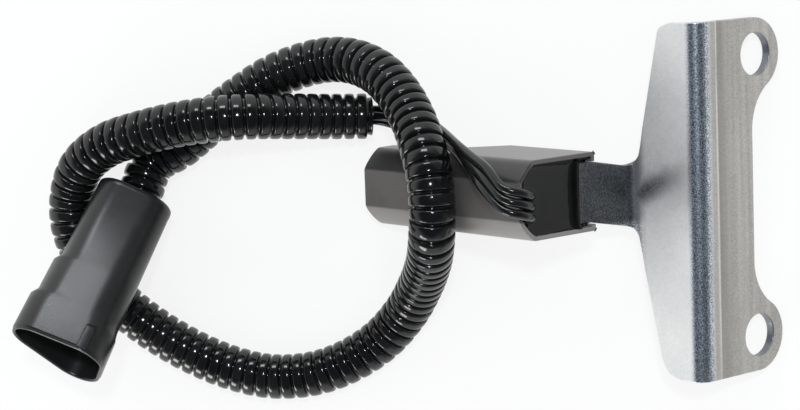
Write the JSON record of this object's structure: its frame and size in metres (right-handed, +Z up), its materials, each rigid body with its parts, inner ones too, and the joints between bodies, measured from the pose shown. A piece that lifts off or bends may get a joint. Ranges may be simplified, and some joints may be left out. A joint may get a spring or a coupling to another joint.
{
  "type": "crankshaft position sensor",
  "caption": "Black crankshaft position sensor potted onto a folded zinc plated bracket, with leads in a looped corrugated conduit that ends in a multi-way connector.",
  "frame": {"origin": "on the bench, below the middle of the box round the rigid sensor and bracket", "axes": "+Z up from the bench, +X from the sensor's nose towards the bracket's ears, +Y along the bracket's two bends"},
  "size_m": [0.1682, 0.0839, 0.044],
  "materials": {
    "zinc_plate": "bright zinc plate, fine grain",
    "shell_black": "satin moulded",
    "potting_black": "glossy cast resin",
    "magnet_grey": "nickel plated",
    "chip_black": "moulded",
    "board_green": "solder mask",
    "tinned_pin": "tinned",
    "lead_black": "glossy insulation",
    "conduit_black": "glossy corrugated",
    "connector_black": "satin moulded",
    "lock_black": "satin moulded",
    "contact_tin": "tinned",
    "seal_rubber": "soft silicone"
  },
  "bodies": {
    "root": {"board_pin_1": "tinned_pin", "board_pin_2": "tinned_pin", "board_pin_3": "tinned_pin", "bracket": "zinc_plate", "cable_seal_1": "seal_rubber", "cable_seal_2": "seal_rubber", "cable_seal_3": "seal_rubber", "circuit_board": "board_green", "connector_body": "connector_black", "contact_pin_1": "contact_tin", "contact_pin_2": "contact_tin", "contact_pin_3": "contact_tin", "lead_1": "lead_black", "lead_2": "lead_black", "lead_3": "lead_black", "loom": "conduit_black", "magnet": "magnet_grey", "potting": "potting_black", "sensing_chip": "chip_black", "sensor_shell": "shell_black", "terminal_lock": "lock_black"}
  },
  "joints": []
}
